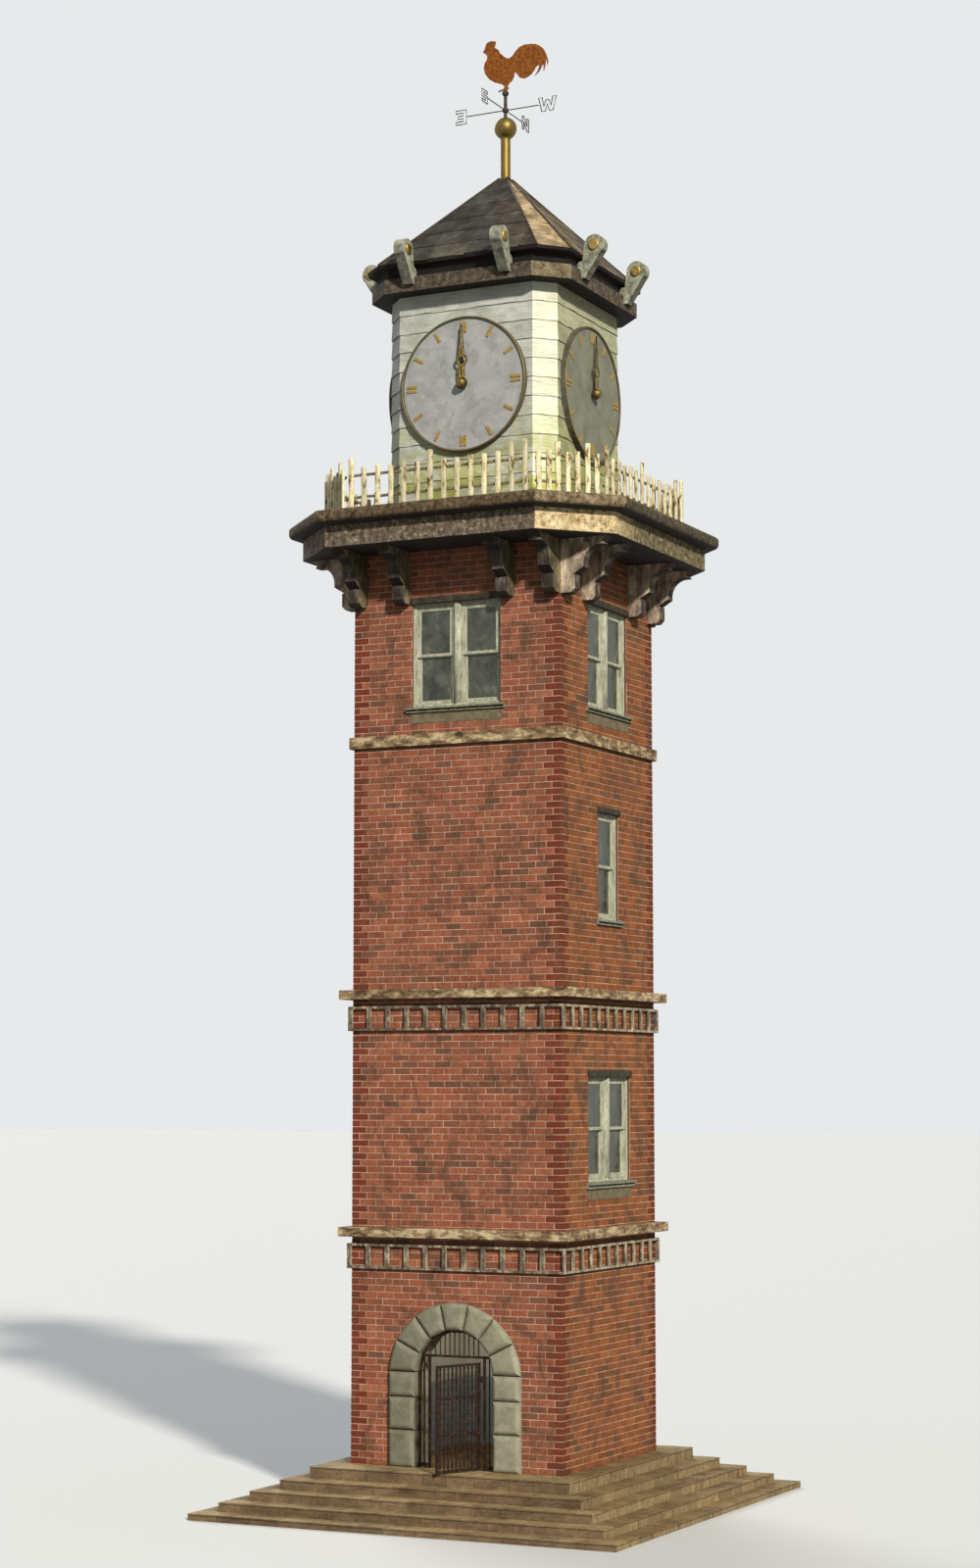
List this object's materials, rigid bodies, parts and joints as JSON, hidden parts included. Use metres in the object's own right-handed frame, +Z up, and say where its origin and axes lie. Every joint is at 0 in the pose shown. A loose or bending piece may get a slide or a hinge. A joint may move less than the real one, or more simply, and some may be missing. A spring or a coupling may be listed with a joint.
{
  "type": "clock tower",
  "caption": "Square brick clock tower on stone steps, with an arched gate, bracketed balcony, weatherboarded clock room, slate spire and a turning weathercock.",
  "frame": {"origin": "middle of the bottom step's underside, on the ground", "axes": "+Z up, the doorway in the -Y side, +X to the right as the doorway is faced"},
  "size_m": [7.832, 8.394, 26.485],
  "materials": {
    "step_stone": "rough sawn brown sandstone",
    "brick": "red brick in pale mortar",
    "floor_boards": "plain worn boards",
    "door_stone": "rounded grey-green stone",
    "rusty_iron": "rusted wrought iron",
    "window_stone": "mossy grey stone",
    "window_paint": "pale weathered paint",
    "window_glass": "old dusty glass",
    "weathered_stone": "weathered brown and cream stone",
    "bracket_stone": "weathered grey-brown stone",
    "frieze_wood": "aged pale wood",
    "picket_paint": "peeling pale paint",
    "white_boards": "white weathered boards",
    "dial_rim": "dark painted rim",
    "dial_face": "mottled pale grey",
    "hand_bronze": "dark gilded bronze",
    "roof_slate": "brown-grey stone slates",
    "arm_stone": "pale grey stone",
    "brass_disc": "dull brass",
    "gilded": "gilded",
    "dark_iron": "dark iron",
    "rust_plate": "rust-orange plate"
  },
  "bodies": {
    "tower": {"back_wall": "brick", "balcony_brackets": "bracket_stone", "balcony_deck": "weathered_stone", "balcony_fascia": "weathered_stone", "clock_corners": "white_boards", "clock_walls": "white_boards", "compass": "dark_iron", "dial_faces": "dial_face", "dial_rims": "dial_rim", "door_arch": "door_stone", "door_jambs": "door_stone", "eaves": "weathered_stone", "finial": "gilded", "floors": "floor_boards", "friezes": "frieze_wood", "front_pier_left": "brick", "front_pier_right": "brick", "front_wall": "brick", "gate_frame": "rusty_iron", "left_wall": "brick", "lower_cornice": "weathered_stone", "plain_band": "weathered_stone", "platform": "step_stone", "railing_back": "picket_paint", "railing_back_left": "picket_paint", "railing_back_right": "picket_paint", "railing_front": "picket_paint", "railing_front_left": "picket_paint", "railing_front_right": "picket_paint", "railing_left": "picket_paint", "railing_right": "picket_paint", "right_wall": "brick", "roof": "roof_slate", "roof_arm_discs": "brass_disc", "roof_arms": "arm_stone", "step_1": "step_stone", "step_2": "step_stone", "step_3": "step_stone", "step_4": "step_stone", "upper_cornice": "weathered_stone", "window_frames": "window_paint", "window_panes": "window_glass", "window_stones": "window_stone"},
    "gate": {"gate_leaf": "rusty_iron"},
    "vane": {"weathercock": "rust_plate"},
    "minute_front": {"minute_hand_front": "hand_bronze"},
    "minute_right": {"minute_hand_right": "hand_bronze"},
    "minute_back": {"minute_hand_back": "hand_bronze"},
    "minute_left": {"minute_hand_left": "hand_bronze"},
    "hour_front": {"hour_hand_front": "hand_bronze"},
    "hour_right": {"hour_hand_right": "hand_bronze"},
    "hour_back": {"hour_hand_back": "hand_bronze"},
    "hour_left": {"hour_hand_left": "hand_bronze"}
  },
  "joints": [
    {"name": "gate_hinge", "type": "hinge", "parent": "tower", "child": "gate", "pos_m": [0.48, -1.96, 1.695], "axis": [0, 0, 1], "range_deg": [-65, 30]},
    {"name": "vane_spin", "type": "hinge", "parent": "tower", "child": "vane", "pos_m": [0, 0, 25.445], "axis": [0, 0, 1], "continuous": true},
    {"name": "minute_turn_front", "type": "hinge", "parent": "tower", "child": "minute_front", "pos_m": [0, -1.7, 19.611], "axis": [0, 1, 0], "continuous": true},
    {"name": "minute_turn_right", "type": "hinge", "parent": "tower", "child": "minute_right", "pos_m": [1.7, 0, 19.611], "axis": [-1, 0, 0], "continuous": true},
    {"name": "minute_turn_back", "type": "hinge", "parent": "tower", "child": "minute_back", "pos_m": [0, 1.7, 19.611], "axis": [0, -1, 0], "continuous": true},
    {"name": "minute_turn_left", "type": "hinge", "parent": "tower", "child": "minute_left", "pos_m": [-1.7, 0, 19.611], "axis": [1, 0, 0], "continuous": true},
    {"name": "hour_turn_front", "type": "hinge", "parent": "tower", "child": "hour_front", "pos_m": [0, -1.7, 19.611], "axis": [0, 1, 0], "continuous": true},
    {"name": "hour_turn_right", "type": "hinge", "parent": "tower", "child": "hour_right", "pos_m": [1.7, 0, 19.611], "axis": [-1, 0, 0], "continuous": true},
    {"name": "hour_turn_back", "type": "hinge", "parent": "tower", "child": "hour_back", "pos_m": [0, 1.7, 19.611], "axis": [0, -1, 0], "continuous": true},
    {"name": "hour_turn_left", "type": "hinge", "parent": "tower", "child": "hour_left", "pos_m": [-1.7, 0, 19.611], "axis": [1, 0, 0], "continuous": true}
  ],
  "couplings": [
    {"joint": "minute_turn_right", "follows": "minute_turn_front", "ratio": 1},
    {"joint": "minute_turn_back", "follows": "minute_turn_front", "ratio": 1},
    {"joint": "minute_turn_left", "follows": "minute_turn_front", "ratio": 1},
    {"joint": "hour_turn_front", "follows": "minute_turn_front", "ratio": 0.083333},
    {"joint": "hour_turn_right", "follows": "minute_turn_front", "ratio": 0.083333},
    {"joint": "hour_turn_back", "follows": "minute_turn_front", "ratio": 0.083333},
    {"joint": "hour_turn_left", "follows": "minute_turn_front", "ratio": 0.083333}
  ]
}
